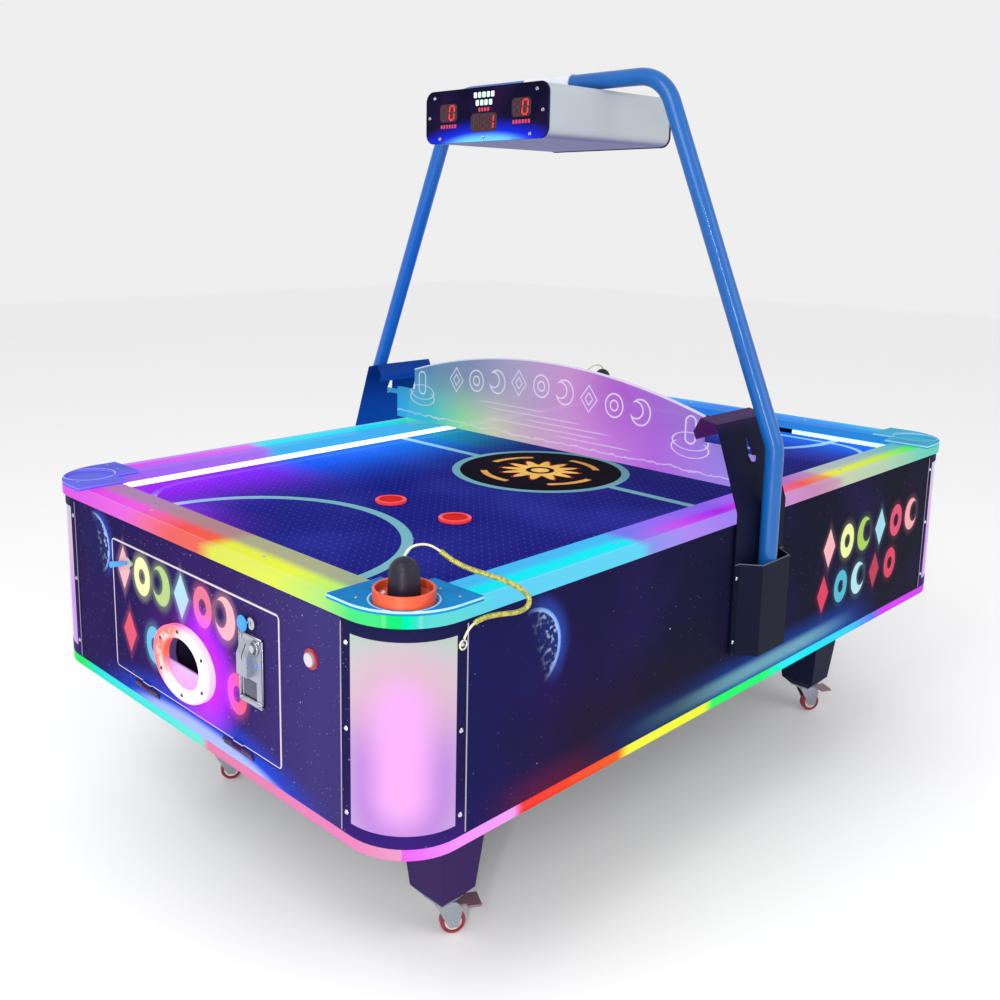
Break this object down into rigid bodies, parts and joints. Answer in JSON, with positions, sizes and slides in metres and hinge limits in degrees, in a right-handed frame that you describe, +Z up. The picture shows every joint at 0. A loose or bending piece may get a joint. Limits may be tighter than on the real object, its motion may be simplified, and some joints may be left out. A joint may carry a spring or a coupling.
{
  "type": "air hockey table",
  "caption": "Lit two-player air hockey table on castered legs, with a tube gantry score box, a clear centre divider, tethered mallets and a drop-down coin door.",
  "frame": {"origin": "on the floor under the middle of the table", "axes": "+X along the length away from the coin door, +Y across the width, +Z up"},
  "size_m": [2.039, 1.317, 1.691],
  "materials": {
    "panel_print": "printed film, satin",
    "board": "raw board",
    "glow_strip": "lit diffuser",
    "window_milk": "milky, lit",
    "trim_silver": "satin",
    "zinc": "zinc plated",
    "field_print": "gloss laminate with air holes",
    "box_steel": "satin",
    "rotor_plastic": "moulded",
    "rail_glow": "translucent, lit",
    "light_bar": "lit diffuser",
    "tray_clear": "clear over a print",
    "leg_paint": "satin paint",
    "tread_red": "matt",
    "pedal_plastic": "moulded",
    "tube_blue": "gloss paint",
    "sheet_black": "satin powder coat",
    "divider_clear": "clear, engraved",
    "score_white": "satin",
    "score_face": "tinted window",
    "ring_glow": "lit diffuser",
    "coin_metal": "satin cast",
    "tray_plastic": "moulded",
    "button_white": "gloss",
    "bezel_red": "gloss",
    "puck_red": "gloss",
    "mallet_orange": "gloss",
    "mallet_black": "gloss",
    "tether_wire": "coated wire in a spring sleeve"
  },
  "bodies": {
    "table": {"base_board": "board", "lower_light_strip": "glow_strip", "end_panel_front": "panel_print", "end_panel_back": "panel_print", "side_panels": "panel_print", "corner_panels": "panel_print", "corner_windows": "window_milk", "corner_trims": "trim_silver", "panel_screws": "zinc", "playfield": "field_print", "air_plenum": "board", "blower_housing": "box_steel", "rail_cores": "board", "rail_covers_end": "rail_glow", "rail_covers_side": "rail_glow", "inner_light_bars": "light_bar", "goal_chutes": "tray_plastic", "corner_trays": "tray_clear", "legs": "leg_paint", "caster_plates": "zinc", "gantry_tube": "tube_blue", "side_brackets": "sheet_black", "post_pockets": "sheet_black", "divider": "divider_clear", "score_case": "score_white", "score_faces": "score_face", "tube_saddle": "score_white", "door_hinges": "zinc", "start_button_bezel": "bezel_red", "tether_near": "tether_wire", "tether_far": "tether_wire"},
    "impeller": {"blower_impeller": "rotor_plastic"},
    "door": {"door_panel": "panel_print", "return_ring": "ring_glow", "return_tray": "tray_plastic", "coin_plate": "coin_metal", "coin_box": "box_steel"},
    "coin_button_body": {"coin_button": "coin_metal"},
    "coin_flap_body": {"coin_flap": "coin_metal"},
    "lock_left": {"door_lock_left": "zinc"},
    "lock_right": {"door_lock_right": "zinc"},
    "start_button_body": {"start_button": "button_white"},
    "puck_a_body": {"puck_a": "puck_red"},
    "puck_b_body": {"puck_b": "puck_red"},
    "mallet_near": {"mallet_ring_near": "mallet_orange", "mallet_handle_near": "mallet_black"},
    "mallet_far": {"mallet_ring_far": "mallet_orange", "mallet_handle_far": "mallet_black"},
    "fork_front_near": {"caster_fork_front_near": "zinc"},
    "wheel_front_near": {"caster_wheel_front_near": "tread_red"},
    "pedal_front_near": {"brake_pedal_front_near": "pedal_plastic"},
    "fork_front_far": {"caster_fork_front_far": "zinc"},
    "wheel_front_far": {"caster_wheel_front_far": "tread_red"},
    "pedal_front_far": {"brake_pedal_front_far": "pedal_plastic"},
    "fork_back_near": {"caster_fork_back_near": "zinc"},
    "wheel_back_near": {"caster_wheel_back_near": "tread_red"},
    "pedal_back_near": {"brake_pedal_back_near": "pedal_plastic"},
    "fork_back_far": {"caster_fork_back_far": "zinc"},
    "wheel_back_far": {"caster_wheel_back_far": "tread_red"},
    "pedal_back_far": {"brake_pedal_back_far": "pedal_plastic"}
  },
  "joints": [
    {"name": "impeller_spin", "type": "hinge", "parent": "table", "child": "impeller", "pos_m": [0.3, 0, 0.5], "axis": [0, 0, 1], "continuous": true},
    {"name": "door_swing", "type": "hinge", "parent": "table", "child": "door", "pos_m": [-1.0126, 0, 0.411], "axis": [0, -1, 0], "range_deg": [0, 90]},
    {"name": "coin_button_push", "type": "slide", "parent": "door", "child": "coin_button_body", "axis": [1, 0, 0], "range_m": [0, 0.005], "stiffness_N_per_m": 120},
    {"name": "coin_flap_swing", "type": "hinge", "parent": "door", "child": "coin_flap_body", "pos_m": [-1.01125, -0.215, 0.556], "axis": [0, -1, 0], "range_deg": [0, 30]},
    {"name": "lock_left_turn", "type": "hinge", "parent": "door", "child": "lock_left", "pos_m": [-1, 0.219, 0.666], "axis": [-1, 0, 0], "range_deg": [0, 90]},
    {"name": "lock_right_turn", "type": "hinge", "parent": "door", "child": "lock_right", "pos_m": [-1, -0.225, 0.666], "axis": [1, 0, 0], "range_deg": [0, 90]},
    {"name": "start_button_push", "type": "slide", "parent": "table", "child": "start_button_body", "axis": [1, 0, 0], "range_m": [0, 0.004], "stiffness_N_per_m": 150},
    {"name": "puck_a_glide", "type": "slide", "parent": "table", "child": "puck_a_body", "axis": [1, 0, 0], "range_m": [-0.385, 1.34]},
    {"name": "puck_b_glide", "type": "slide", "parent": "table", "child": "puck_b_body", "axis": [1, 0, 0], "range_m": [-0.385, 1.335]},
    {"name": "mallet_near_lift", "type": "slide", "parent": "table", "child": "mallet_near", "axis": [0, 0, 1], "range_m": [0, 0.04], "deforming": ["tether_near"]},
    {"name": "mallet_far_lift", "type": "slide", "parent": "table", "child": "mallet_far", "axis": [0, 0, 1], "range_m": [0, 0.04], "deforming": ["tether_far"]},
    {"name": "swivel_front_near", "type": "hinge", "parent": "table", "child": "fork_front_near", "pos_m": [-0.704, -0.39, 0.073], "axis": [0, 0, 1], "continuous": true},
    {"name": "roll_front_near", "type": "hinge", "parent": "fork_front_near", "child": "wheel_front_near", "pos_m": [-0.68668, -0.4, 0.025], "axis": [0.5, 0.866, 0], "continuous": true},
    {"name": "brake_front_near", "type": "hinge", "parent": "fork_front_near", "child": "pedal_front_near", "pos_m": [-0.67802, -0.405, 0.057], "axis": [0.5, 0.866, 0], "range_deg": [0, 15]},
    {"name": "swivel_front_far", "type": "hinge", "parent": "table", "child": "fork_front_far", "pos_m": [-0.704, 0.39, 0.073], "axis": [0, 0, 1], "continuous": true},
    {"name": "roll_front_far", "type": "hinge", "parent": "fork_front_far", "child": "wheel_front_far", "pos_m": [-0.68668, 0.38, 0.025], "axis": [0.5, 0.866, 0], "continuous": true},
    {"name": "brake_front_far", "type": "hinge", "parent": "fork_front_far", "child": "pedal_front_far", "pos_m": [-0.67802, 0.375, 0.057], "axis": [0.5, 0.866, 0], "range_deg": [0, 15]},
    {"name": "swivel_back_near", "type": "hinge", "parent": "table", "child": "fork_back_near", "pos_m": [0.704, -0.39, 0.073], "axis": [0, 0, 1], "continuous": true},
    {"name": "roll_back_near", "type": "hinge", "parent": "fork_back_near", "child": "wheel_back_near", "pos_m": [0.72132, -0.4, 0.025], "axis": [0.5, 0.866, 0], "continuous": true},
    {"name": "brake_back_near", "type": "hinge", "parent": "fork_back_near", "child": "pedal_back_near", "pos_m": [0.72998, -0.405, 0.057], "axis": [0.5, 0.866, 0], "range_deg": [0, 15]},
    {"name": "swivel_back_far", "type": "hinge", "parent": "table", "child": "fork_back_far", "pos_m": [0.704, 0.39, 0.073], "axis": [0, 0, 1], "continuous": true},
    {"name": "roll_back_far", "type": "hinge", "parent": "fork_back_far", "child": "wheel_back_far", "pos_m": [0.72132, 0.38, 0.025], "axis": [0.5, 0.866, 0], "continuous": true},
    {"name": "brake_back_far", "type": "hinge", "parent": "fork_back_far", "child": "pedal_back_far", "pos_m": [0.72998, 0.375, 0.057], "axis": [0.5, 0.866, 0], "range_deg": [0, 15]}
  ]
}
